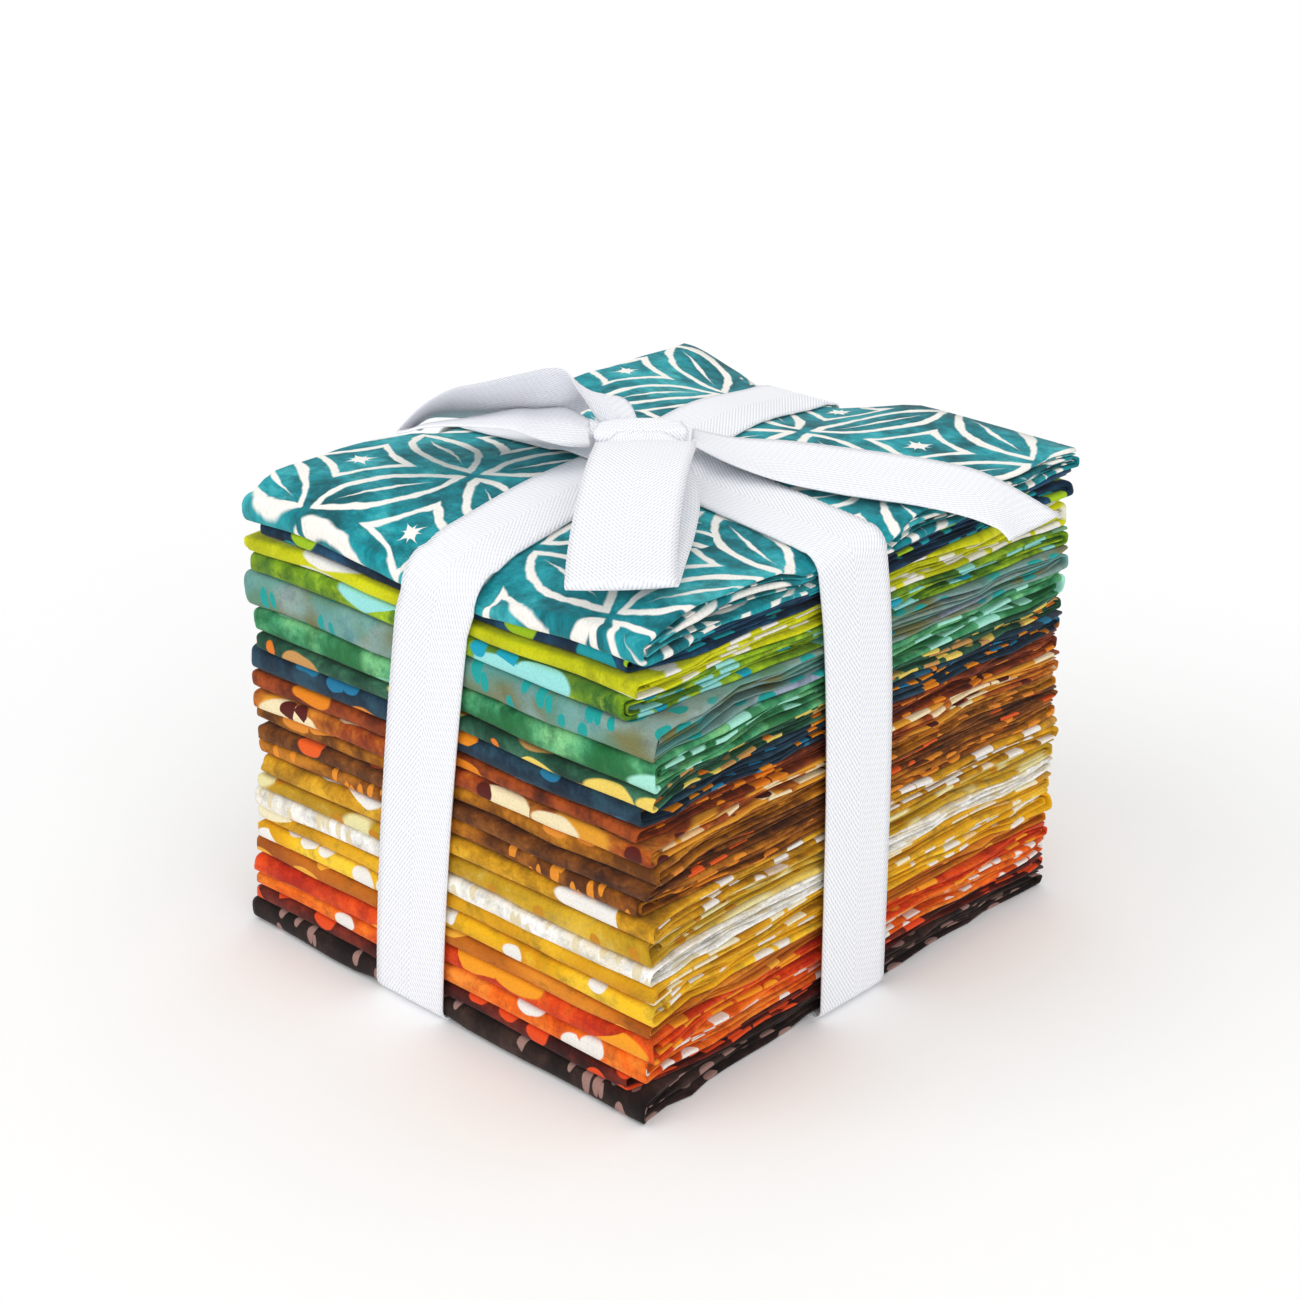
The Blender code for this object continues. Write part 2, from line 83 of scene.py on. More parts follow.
class Wire:
    # A node's output that can be used in ordinary sums.
    def __init__(self, tree, socket):
        self.tree = tree
        self.socket = socket

    def sum(self, operation, first, second=None):
        node = self.tree.nodes.new("ShaderNodeMath")
        node.operation = operation
        for spot, value in zip(node.inputs, (first, second)):
            if isinstance(value, Wire):
                self.tree.links.new(value.socket, spot)
            elif value is not None:
                spot.default_value = value
        return Wire(self.tree, node.outputs[0])

    def __add__(self, other):
        return self.sum("ADD", self, other)

    def __radd__(self, other):
        return self.sum("ADD", other, self)

    def __sub__(self, other):
        return self.sum("SUBTRACT", self, other)

    def __rsub__(self, other):
        return self.sum("SUBTRACT", other, self)

    def __mul__(self, other):
        return self.sum("MULTIPLY", self, other)

    def __rmul__(self, other):
        return self.sum("MULTIPLY", other, self)

    def __abs__(self):
        return self.sum("ABSOLUTE", self)

    def sine(self):
        return self.sum("SINE", self)

    def root(self):
        return self.sum("SQRT", self)

    def part(self):
        return self.sum("FRACT", self)

    def atLeast(self, other):
        return self.sum("MAXIMUM", self, other)

    def atMost(self, other):
        return self.sum("MINIMUM", self, other)

    def step(self, edge, soft):
        # 1 where the value is under the edge, with a soft border
        node = self.tree.nodes.new("ShaderNodeMapRange")
        node.interpolation_type = "SMOOTHSTEP"
        self.tree.links.new(self.socket, node.inputs["Value"])
        for name, value in (("From Min", edge - soft), ("From Max", edge + soft),
                            ("To Min", 1.0), ("To Max", 0.0)):
            if isinstance(value, Wire):
                self.tree.links.new(value.socket, node.inputs[name])
            else:
                node.inputs[name].default_value = value
        return Wire(self.tree, node.outputs[0])


class Finish:
    # A material with one Principled shader and a method that adds nodes.
    def __init__(self, name):
        self.material = bpy.data.materials.new(name)
        self.material.use_nodes = True
        self.tree = self.material.node_tree
        self.shader = self.tree.nodes["Principled BSDF"]

    def node(self, kind, settings=None, sockets=None, output=0):
        node = self.tree.nodes.new(kind)
        for key, value in (settings or {}).items():
            if key == "stops":
                ramp = node.color_ramp
                while len(ramp.elements) < len(value):
                    ramp.elements.new(0.5)
                for element, (place, colour) in zip(ramp.elements, value):
                    element.position = place
                    element.color = (*colour, 1.0)
            else:
                setattr(node, key, value)
        self.fill(node, sockets or {})
        return Wire(self.tree, node.outputs[output])

    def fill(self, node, sockets):
        for key, value in sockets.items():
            if isinstance(value, Wire):
                self.tree.links.new(value.socket, node.inputs[key])
            else:
                node.inputs[key].default_value = value

    def mix(self, share, first, second):
        def colour(value):
            return value if isinstance(value, Wire) else (*value, 1.0)
        return self.node("ShaderNodeMix", dict(data_type="RGBA", clamp_factor=True),
                         {0: share, 6: colour(first), 7: colour(second)}, 2)

    def noise(self, at, scale, detail=3.0, rough=0.5, output=0):
        return self.node("ShaderNodeTexNoise", {}, {"Vector": at, "Scale": scale, "Detail": detail,
                                                    "Roughness": rough}, output)

    def place(self, at, shift=(0, 0, 0), turn=0.0, scale=(1, 1, 1)):
        return self.node("ShaderNodeMapping", {}, {"Vector": at, "Location": shift, "Scale": scale,
                                                   "Rotation": (0, 0, math.radians(turn))})

    def wobble(self, at, size, scale):
        # moves a place by a few millimetres so that drawn lines look hand made
        cloud = self.noise(at, scale, 1.0, 0.5, 1)
        shift = self.node("ShaderNodeVectorMath", dict(operation="SUBTRACT"), {0: cloud, 1: (0.5,) * 3})
        shift = self.node("ShaderNodeVectorMath", dict(operation="SCALE"), {0: shift, "Scale": size})
        return self.node("ShaderNodeVectorMath", dict(operation="ADD"), {0: at, 1: shift})

    def xy(self, at):
        return (self.node("ShaderNodeSeparateXYZ", {}, {0: at}, 0),
                self.node("ShaderNodeSeparateXYZ", {}, {0: at}, 1))


def ink(text):
    # a colour from its web name, in the renderer's linear values
    parts = [int(text[i:i + 2], 16) / 255 for i in (0, 2, 4)]
    return tuple(v / 12.92 if v <= 0.04045 else ((v + 0.055) / 1.055) ** 2.4 for v in parts)


floorLook = dict(size=3.0, colour="f8f8f8", grain=180.0)


def makeFloor(look):
    mesh = bpy.data.meshes.new("floor")
    half = look["size"]
    mesh.from_pydata([(-half, -half, -0.0002), (half, -half, -0.0002), (half, half, -0.0002),
                      (-half, half, -0.0002)], [], [(0, 1, 2, 3)])
    floor = bpy.data.objects.new("floor", mesh)
    bpy.context.scene.collection.objects.link(floor)
    finish = Finish("floorPaper")
    at = finish.node("ShaderNodeTexCoord", {}, {}, 3)
    shade = finish.noise(at, look["grain"], 2.0)
    paper = finish.mix(shade * 0.06, ink(look["colour"]), ink("e6e6e8"))
    finish.fill(finish.shader, {"Base Color": paper, "Roughness": 0.9})
    mesh.materials.append(finish.material)
    return floor


lights = dict(
    key=dict(towards=(-0.42, -1.0, 0.85), spread=50.0, power=0.75),
    side=dict(towards=(1.0, -0.3, 0.6), spread=50.0, power=0.5),
    fill=dict(towards=(0.62, -0.75, 0.1), spread=60.0, power=0.6),
    over=dict(towards=(0.1, 0.3, 1.6), spread=70.0, power=0.75),
)


def makeLights(rows):
    for name, row in rows.items():
        data = bpy.data.lights.new(name + "Light", "SUN")
        data.angle = math.radians(row["spread"])
        data.energy = row["power"]
        lamp = bpy.data.objects.new(name + "Light", data)
        bpy.context.scene.collection.objects.link(lamp)
        lamp.location = row["towards"]
        lamp.rotation_mode = "QUATERNION"
        lamp.rotation_quaternion = Vector(row["towards"]).to_track_quat("Z", "Y")
    world = bpy.data.worlds.new("studio")
    bpy.context.scene.world = world
    world.use_nodes = True
    sky = world.node_tree.nodes["Background"]
    sky.inputs["Color"].default_value = (1.0, 1.0, 1.0, 1.0)
    sky.inputs["Strength"].default_value = 0.6


floor = makeFloor(floorLook)
makeLights(lights)
print("camera, floor and lights placed")

# sizes of the stack in millimetres
stack = dict(x=142.0, y=167.0, gap=0.3, crown=0.6, swell=0.035, shoulderDrop=5.0, shoulderReach=14.0)
bands = dict(width=25.4, room=0.8, ramp=4.0, step=1.3, crossX=-3.5, crossY=-5.5,
             lengthwaysFoot=-11.0, crosswaysFoot=-5.0, lengthwaysLeans=(0.115, 0.22),
             crosswaysLeans=(0.07, 0.07))
# how far each edge is squeezed down, and how much of that reaches each boundary from the top down
pinch = dict(front=3.5, back=6.0, left=3.0, right=1.5, shares=(1.0, 0.5, 0.34, 0.2, 0.1, 0.03),
             flat=16.0, sideReach=46.0, inwardReach=52.0, bendReach=7.0, bendDrop=3.2, bendFlat=14.0, bendSide=24.0,
             bendBelow=0.3)
cotton = dict(thick=0.28, flat=(0.457, 0.533))

# thickness at the left, near and right corners, how far the fold stands out, shift along X,
# and how far the near and left corners stick out past the stack
quarterSizes = [
    (11.6, 10.4, 5.5, 0.6, 0.6, -0.5, 0.5), (3.6, 4.15, 7.4, -1.8, 0.2, -5.0, -3.0),
    (4.2, 4.3, 8.8, 0.0, -0.4, -1.5, -1.5), (5.6, 6.2, 5.4, 0.4, 0.0, -4.5, -1.5),
    (10.4, 8.3, 6.8, 0.5, 0.5, 3.5, 1.0), (7.0, 7.7, 7.2, 0.2, 0.1, 5.5, -0.5),
    (4.15, 4.2, 5.0, 0.6, -0.5, 5.5, -2.5), (7.2, 5.8, 5.4, 0.0, 0.3, -0.5, 2.2),
    (5.0, 4.2, 6.4, -0.3, -0.2, -1.5, 1.2), (5.8, 4.6, 6.2, 0.3, 0.0, 5.0, 0.0),
    (4.15, 5.2, 4.15, -1.2, -0.7, 5.0, 1.5), (4.6, 4.4, 4.15, 0.1, -0.3, 3.5, -0.5),
    (4.15, 5.5, 5.4, -0.4, 0.3, -1.5, 0.0), (6.2, 4.8, 7.0, 0.2, 0.1, 5.5, -0.8),
    (4.2, 7.0, 5.8, 0.5, -0.3, 2.5, -0.8), (6.4, 4.8, 4.6, 0.6, 0.4, 3.5, 2.8),
    (4.15, 5.6, 5.2, -0.5, 0.0, 4.5, 3.0), (5.4, 5.4, 6.7, 0.2, -0.4, 5.5, 3.2),
    (5.6, 4.15, 4.15, 0.0, -0.8, 4.5, 4.2), (6.0, 6.2, 4.15, 0.4, -0.6, 4.5, 3.5),
    (4.2, 6.8, 5.2, 0.0, -1.0, 3.0, 4.5), (4.6, 4.15, 4.15, -0.4, -1.2, -3.5, 5.0),
    (6.7, 6.6, 6.6, 0.3, -1.5, 3.5, 5.5),
]
quarterColumns = ("left", "near", "right", "out", "side", "nearCorner", "leftCorner")
quarters = [dict(zip(quarterColumns, row)) for row in quarterSizes]
last = len(quarters) - 1


def thickness(row, x, y):
    across = x / stack["x"] + 0.5
    along = y / stack["y"] + 0.5
    back = (row["left"] + row["right"]) / 2
    front = row["left"] * (1 - across) + row["near"] * across
    rear = back * (1 - across) + row["right"] * across
    return front * (1 - along) + rear * along


def fade(distance, flat, reach):
    t = np.clip((np.abs(distance) - flat) / (reach - flat), 0, 1)
    return 1 - t * t * (3 - 2 * t)


def overTop(along, crossing, leans):
    # middle line of a band over the top: crossing is (along, across) under the knot
    past = along - crossing[0]
    return crossing[1] - np.where(past > 0, leans[1], leans[0]) * past


def pinchDepth(x, y):
    middleX = overTop(y, (bands["crossY"], bands["crossX"]), bands["lengthwaysLeans"])
    middleY = overTop(x, (bands["crossX"], bands["crossY"]), bands["crosswaysLeans"])
    alongY = fade(x - middleX, pinch["flat"], pinch["sideReach"])
    alongY = alongY * fade(stack["y"] / 2 - np.abs(y), 0.0, pinch["inwardReach"])
    alongX = fade(y - middleY, pinch["flat"], pinch["sideReach"])
    alongX = alongX * fade(stack["x"] / 2 - np.abs(x), 0.0, pinch["inwardReach"])
    return (alongY * np.where(y > 0, pinch["back"], pinch["front"])
            + alongX * np.where(x > 0, pinch["right"], pinch["left"]))


def edgeDip(x, y):
    # the bands press the top cloth's edges round where they bend down over them
    middleX = overTop(y, (bands["crossY"], bands["crossX"]), bands["lengthwaysLeans"])
    middleY = overTop(x, (bands["crossX"], bands["crossY"]), bands["crosswaysLeans"])
    endY = np.clip((pinch["bendReach"] - stack["y"] / 2 + np.abs(y)) / pinch["bendReach"], 0, 1)
    endX = np.clip((pinch["bendReach"] - stack["x"] / 2 + np.abs(x)) / pinch["bendReach"], 0, 1)
    return pinch["bendDrop"] * (endY ** 2 * fade(x - middleX, pinch["bendFlat"], pinch["bendSide"])
                                + endX ** 2 * fade(y - middleY, pinch["bendFlat"], pinch["bendSide"]))


def grooveUnder(distance):
    inner = bands["width"] / 2 + bands["room"]
    return bands["step"] * np.clip((inner + bands["ramp"] - np.abs(distance)) / bands["ramp"], 0, 1)


def ripples(seed, shortest, longest, count=6):
    # a smooth wavy function of x and y, about -1 to 1
    rng = np.random.default_rng(seed)
    length = rng.uniform(shortest, longest, count)
    heading = rng.uniform(0, math.pi, count)
    phase = rng.uniform(0, 2 * math.pi, count)
    kx = 2 * math.pi / length * np.cos(heading)
    ky = 2 * math.pi / length * np.sin(heading)

    def at(x, y):
        total = 0.0
        for i in range(count):
            total = total + np.sin(kx[i] * x + ky[i] * y + phase[i])
        return total / math.sqrt(count)
    return at


swell = [ripples(100 + i, 45.0, 130.0) for i in range(last + 1)]


def levels(x, y):
    # heights of all boundaries at x, y: the first is the top, the last lies under the stack
    sizes = [thickness(row, x, y) for row in quarters]
    plain = sum(sizes)
    wavy = [size * (1 + stack["swell"] * swell[i](x, y)) for i, size in enumerate(sizes)]
    share = plain / sum(wavy)
    crown = stack["crown"] * (np.cos(math.pi * x / stack["x"]) + np.cos(math.pi * y / stack["y"]))
    squeeze = pinchDepth(x, y)
    heights = [grooveUnder(x - bands["lengthwaysFoot"]) + grooveUnder(y - bands["crosswaysFoot"])
               - stack["gap"] / 2]
    height = 0.0
    for size in reversed(wavy):
        height = height + size * share
        heights.insert(0, height + crown * height / plain)
    for i, part in enumerate(pinch["shares"]):
        heights[i] = heights[i] - part * squeeze
    past = np.clip((-stack["y"] / 2 + stack["shoulderReach"] - y) / stack["shoulderReach"], 0, 2)
    heights[0] = heights[0] - stack["shoulderDrop"] * past ** 1.5
    dip = edgeDip(x, y)
    heights[0] = heights[0] - dip
    heights[1] = heights[1] - pinch["bendBelow"] * dip
    return heights


def meshOf(name, points, uv, closed=False):
    # points: rows x columns x 3 in millimetres; uv the same without the height, in metres
    rows, columns = points.shape[:2]
    mesh = bpy.data.meshes.new(name)
    index = np.arange(rows * columns).reshape(rows, columns)
    if closed:
        index = np.vstack([index, index[:1]])
    quads = np.stack([index[:-1, :-1], index[1:, :-1], index[1:, 1:], index[:-1, 1:]], -1).reshape(-1, 4)
    mesh.from_pydata((points.reshape(-1, 3) * mm).tolist(), [], quads.tolist())
    layer = mesh.uv_layers.new(name="cloth")
    spots = uv
    if closed:
        spots = np.vstack([uv, uv[:1] + np.array([2 * uv[-1, 0, 0] - uv[-2, 0, 0], 0.0])])
    grid = np.arange(spots.shape[0] * columns).reshape(-1, columns)
    corners = np.stack([grid[:-1, :-1], grid[1:, :-1], grid[1:, 1:], grid[:-1, 1:]], -1).reshape(-1)
    layer.data.foreach_set("uv", spots.reshape(-1, 2)[corners].astype(np.float32).ravel())
    mesh.polygons.foreach_set("use_smooth", [True] * len(mesh.polygons))
    return mesh


def addPiece(name, mesh, thick, node, finish, rim=None):
    piece = bpy.data.objects.new(name, mesh)
    bpy.context.scene.collection.objects.link(piece)
    mesh.materials.append(finish)
    shell = piece.modifiers.new("thickness", "SOLIDIFY")
    shell.thickness = thick * mm
    shell.offset = 0.0
    if rim:
        mesh.materials.append(rim)
        shell.material_offset_rim = 1
    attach(piece, "root")
    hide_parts(node)
    return piece


plies = dict(across=20, acrossTop=34, run=22, runTop=40, face=10, back=6, faceDepth=3.0, backDepth=2.0,
             unevenPly=0.62, endSway=0.8, endRoom=0.5, looseEnd=1.2, rawEdgeBack=0.5, middleBack=0.9,
             middleStart=3.2, nearFlare=15.0, leftFlare=28.0, foldFlat=0.62, waveFront=0.35, topFold=1.25,
             touching=1.08, heldFlat=17.0, heldReach=38.0, turnRun=1.2)


def foldedQuarter(index, finish):
    # One cloth, folded in three across X and in three again along Y, as a single grid.
    row = quarters[index]
    top = index == 0
    acrossCount = plies["acrossTop"] if top else plies["across"]
    runCount = plies["runTop"] if top else plies["run"]
    spread = (1 - np.cos(np.linspace(0, math.pi, acrossCount + 1))) / 2
    xs = -stack["x"] / 2 + row["side"] + stack["x"] * spread
    edgeShare = np.abs(2 * spread - 1) ** 5
    shares = [ripples(1000 + 20 * index + k, 22.0, 90.0) for k in range(8)]
    frontWave = ripples(3000 + index, 18.0, 80.0)
    thick = cotton["thick"]

    def plyHeights(x, y):
        # middle heights of the nine layers at x, y
        bounds = levels(x, y)
        low = bounds[index + 1] + stack["gap"] / 2 + thick / 2
        high = bounds[index] - stack["gap"] / 2 - thick / 2
        room = (high - low) / 8
        free = np.clip(1 - plies["touching"] * thick / room, 0, plies["unevenPly"])
        gaps = [1 + free * shares[k](x, y) for k in range(8)]
        total = sum(gaps)
        heights = [low]
        for gap in gaps:
            heights.append(heights[-1] + (high - low) * gap / total)
        return heights

    frontY = -stack["y"] / 2 - row["out"] + plies["waveFront"] * frontWave(xs, 0 * xs)
    backY = stack["y"] / 2 - 1.0 + row["out"] / 2 + 0 * xs
    atFront = plyHeights(xs, frontY + 2.0)
    atBack = plyHeights(xs, backY - 1.5)
    bigRadius = (atFront[8] - atFront[0]) / 2
    smallRadius = (atBack[5] - atBack[0]) / 2
    faceDepth = np.minimum(bigRadius, plies["faceDepth"] * (plies["topFold"] if top else 1.0))
    backDepth = np.minimum(smallRadius, plies["backDepth"])
    middleStart = plies["middleStart"] * (1 + 0.5 * ripples(3500 + index, 20.0, 70.0)(xs, 0 * xs))
    foldFront = frontY + faceDepth
    foldBack = backY - backDepth

    def run(ply, fromY, toY, count):
        ys = fromY[None, :] + (toY - fromY)[None, :] * np.linspace(0, 1, count)[:, None]
        return ys, plyHeights(xs[None, :] + 0 * ys, ys)[ply]

    def bend(centreY, depth, low, high, side, count):
        # a soft half turn from one layer to another at the face or at the back
        angle = np.linspace(0, math.pi, count + 2)[1:-1, None]
        flat = plies["foldFlat"]
        ys = centreY[None, :] + side * depth[None, :] * np.sin(angle) ** flat
        level = np.sign(np.cos(angle)) * np.abs(np.cos(angle)) ** flat
        zs = (low + high)[None, :] / 2 - (high - low)[None, :] / 2 * level
        return ys, zs

    layers = []
    for ply in range(3):
        lowEnds = plyHeights(xs, foldFront)
        backEnds = plyHeights(xs, foldBack)
        bigShare = (lowEnds[8 - ply] - lowEnds[ply]) / (lowEnds[8] - lowEnds[0])
        smallShare = (backEnds[5 - ply] - backEnds[ply]) / (backEnds[5] - backEnds[0])
        middle = run(5 - ply, foldFront + middleStart, foldBack, runCount)
        inner = bend(foldBack, backDepth * smallShare, backEnds[ply], backEnds[5 - ply], 1, plies["back"])
        inner = (inner[0][::-1], inner[1][::-1])
        lowRun = run(ply, foldBack, foldFront, runCount)
        face = bend(foldFront, faceDepth * bigShare, lowEnds[ply], lowEnds[8 - ply], -1, plies["face"])
        highRun = run(8 - ply, foldFront, backY - 0.6, runCount)
        ys = np.vstack([part[0] for part in (middle, inner, lowRun, face, highRun)])
        zs = np.vstack([part[1] for part in (middle, inner, lowRun, face, highRun)])
        layers.append((ys, zs))

    place = np.concatenate([[0.0], np.cumsum(np.hypot(np.diff(layers[0][0][:, acrossCount // 2]),
                                                      np.diff(layers[0][1][:, acrossCount // 2])))])

    def layBack(seed, raw):
        # how far the ends of the layers lie back from the side, along the strip
        wave = ripples(seed, 25.0, 110.0)(place, 0 * place)
        back = plies["endRoom"] + plies["endSway"] * np.clip(0.6 + wave, 0.0, 2.4) + raw
        back[:runCount] += plies["middleBack"]
        return back

    nearEnds = [layBack(5000 + 10 * index, 0.0), layBack(5001 + 10 * index, plies["rawEdgeBack"])]
    farEnds = [layBack(5002 + 10 * index, 0.0), layBack(5003 + 10 * index, plies["rawEdgeBack"])]
    fray = ripples(5600 + index, 14.0, 60.0)

    def columnSet(ply, order):
        ys, zs = layers[ply]
        right = edgeShare * (spread > 0.5)
        left = edgeShare * (spread < 0.5)
        freeEnd = 1 - fade(ys - bands["crossY"], plies["heldFlat"], plies["heldReach"])
        loose = plies["looseEnd"] * np.clip(fray(ys, zs * 2.0), -0.4, 1.0)
        inward = np.maximum(ys - frontY[None, :], 0)
        nearFlare = row["nearCorner"] * np.exp(-inward / plies["nearFlare"])
        leftFlare = row["leftCorner"] * np.exp(-inward / plies["leftFlare"])
        nearX = nearEnds[int(ply == 2)][:, None] - (loose + nearFlare) * freeEnd
        farX = farEnds[int(ply == 0)][:, None] - (loose + leftFlare) * freeEnd
        x = xs[None, :] + 0 * ys - nearX * right[None, :] + farX * left[None, :]
        grid = np.stack([x, ys, zs], -1)
        return grid[:, order]

    def turn(first, second, side):
        half = (first - second) / 2
        radius = np.sqrt((half ** 2).sum(-1))
        points = []
        for angle in (math.pi / 4, math.pi / 2, 3 * math.pi / 4):
            point = (first + second) / 2 + half * math.cos(angle)
            point[:, 0] += side * radius * math.sin(angle)
            points.append(point)
        return np.stack(points, 1)

    ahead = np.arange(acrossCount + 1)
    back = ahead[::-1]
    first, second, third = columnSet(0, ahead), columnSet(1, back), columnSet(2, ahead)
    points = np.concatenate([first, turn(first[:, -1], second[:, 0], 1), second,
                             turn(second[:, -1], third[:, 0], -1), third], 1)
    width = stack["x"]
    fold = plies["turnRun"]
    aroundFold = fold * np.array([0.25, 0.5, 0.75])
    s = np.concatenate([width * spread, width + aroundFold, width + fold + width * spread,
                        2 * width + fold + aroundFold, 2 * (width + fold) + width * spread])
    uv = np.stack(np.broadcast_arrays(s[None, :] * mm, place[:, None] * mm), -1)
    number = f"{index + 1:02d}"
    mesh = meshOf("quarter_" + number, points, uv)
    return addPiece("quarter_" + number, mesh, thick, "fat_quarter_" + number,
                    finish)


weave = dict(pitch=0.00042, bump=0.12, distance=0.00008)


def weaveBump(finish, at):
    u, v = finish.xy(at)
    turns = 2 * math.pi / weave["pitch"]
    threads = (u * turns).sine() * 0.5 + (v * turns).sine() * 0.5
    slub = finish.noise(at, 900.0, 2.0)
    height = threads * 0.35 + slub
    creases = finish.noise(finish.place(at, scale=(1, 0.45, 1)), 55.0, 3.0, 0.55)
    fine = finish.node("ShaderNodeBump", {}, {"Strength": weave["bump"], "Distance": weave["distance"],
                                              "Height": height})
    return finish.node("ShaderNodeBump", {}, {"Strength": 0.25, "Distance": 0.0012,
                                              "Height": creases, "Normal": fine})


spotShape = dict(wobble=0.35, random=0.9, soft=0.03, uneven=0.22)


def dots(finish, at, motif):
    # rounded spots of uneven size in cells, stretched along the folds into petals and dashes
    size = motif["size"]
    stretch = motif.get("stretch", 1.0)
    spot = finish.wobble(at, size * spotShape["wobble"], 0.6 / size)
    spot = finish.place(spot, motif.get("shift", (0, 0, 0)), motif.get("turn", 0.0),
                        (1 / (size * stretch), 1 / size, 1))
    settings = dict(voronoi_dimensions="2D", feature="F1")
    sockets = {"Vector": spot, "Scale": 1.0, "Randomness": spotShape["random"]}
    distance = finish.node("ShaderNodeTexVoronoi", settings, sockets, 0)
    cell = finish.node("ShaderNodeTexVoronoi", settings, sockets, 1)
    chance, odd = finish.xy(cell)
    radius = chance * spotShape["uneven"] + motif["cover"]
    mask = (distance - radius).step(0.0, spotShape["soft"])
    keep = odd.step(motif.get("keep", 1.0), 0.01)
    return mask * keep


def patches(finish, at, motif):
    cloud = finish.noise(finish.place(at, motif.get("shift", (0, 0, 0))), 1 / motif["size"], 1.2, 0.4)
    edge = 0.5 - (0.5 - motif["cover"]) * 0.4
    return (1 - cloud).step(edge, motif.get("soft", 0.012))


def leafLattice(finish, at, motif):
    # an orange-peel quilt pattern in brushed outline: leaves along a square grid, stars between
    spot = finish.wobble(finish.wobble(at, 0.0042, 42.0), 0.0012, 260.0)
    spot = finish.place(spot, motif["shift"], motif["turn"], (1 / motif["size"], 1 / motif["size"], 1))
    u, v = finish.xy(spot)
    across, along = abs(u.part() - 0.5), abs(v.part() - 0.5)
    low, high = across.atMost(along), across.atLeast(along)
    leaf = (low * low + (1 - high) * (1 - high)).root() - math.sqrt(0.5)
    brush = finish.noise(at, 75.0, 1.0) * 0.034 + 0.008
    outline = abs(leaf + 0.05).step(brush, 0.007)
    rib = (0.5 - high + low * 0.07).step(0.018, 0.006)
    frame = abs(leaf - 0.115).step(brush * 0.85, 0.007)
    cross = (across + along) * math.sqrt(0.5)
    slant = abs(across - along) * math.sqrt(0.5)
    star = (across.root() + along.root()).step(0.33, 0.014)
    rays = (cross.root() + slant.root()).step(0.29, 0.014)
    return outline.atLeast(rib).atLeast(frame).atLeast(star).atLeast(rays)


motifShapes = dict(dots=dots, patches=patches, leafLattice=leafLattice)


# mottling of the grounds: darker and paler clouds round a level, and the yarn's own grain
dye = dict(blotch=120.0, level=0.46, deep=0.42, deepShare=3.6, pale=1.3, paleShare=2.2, grain=0.42)


def printedCotton(name, look):
    finish = Finish(name)
    uv = finish.node("ShaderNodeUVMap", dict(uv_map="cloth"))
    at = finish.place(uv, (look["seed"] * 1.37, look["seed"] * 0.83, 0))
    cloud = finish.noise(at, look.get("mottle", 46.0), 7.0, 0.66)
    spread = look.get("spread", 0.2)
    stops = [(0.5 + (i / (len(look["ground"]) - 1) - 0.5) * spread, ink(text))
             for i, text in enumerate(look["ground"])]
    colour = finish.node("ShaderNodeValToRGB", dict(stops=stops), {"Fac": cloud})
    blotch = finish.noise(at, dye["blotch"], 6.0, 0.72)
    deepest = tuple(v * dye["deep"] for v in ink(look["ground"][0]))
    colour = finish.mix((blotch - dye["level"]) * dye["deepShare"], colour, deepest)
    palest = tuple(min(1.0, v * dye["pale"] + 0.02) for v in ink(look["ground"][-1]))
    colour = finish.mix((dye["level"] - blotch) * dye["paleShare"], colour, palest)
    wash = finish.noise(at, 170.0, 4.0, 0.6)
    for motif in look.get("motifs", []):
        mask = motifShapes[motif["shape"]](finish, at, motif)
        tone = ink(motif["colour"])
        deep = tuple(v * motif.get("deep", 0.7) for v in tone)
        paint = finish.mix(wash * motif.get("washed", 0.5), tone, deep)
        colour = finish.mix(mask * motif.get("strength", 1.0), colour, paint)
    grain = finish.noise(at, 1500.0, 2.0)
    colour = finish.mix((grain - 0.40) * dye["grain"], colour, (0.0, 0.0, 0.0))
    finish.fill(finish.shader, {"Base Color": colour, "Roughness": wash * 0.12 + 0.8,
                                "Normal": weaveBump(finish, at), "Sheen Weight": 0.08,
                                "Sheen Roughness": 0.5, "Specular IOR Level": 0.2})
    return finish.material


def spots(colour, size, cover=0.28, **more):
    return dict(shape="dots", colour=colour, size=size, cover=cover, **more)


def areas(colour, size, cover=0.4, **more):
    return dict(shape="patches", colour=colour, size=size, cover=cover, **more)


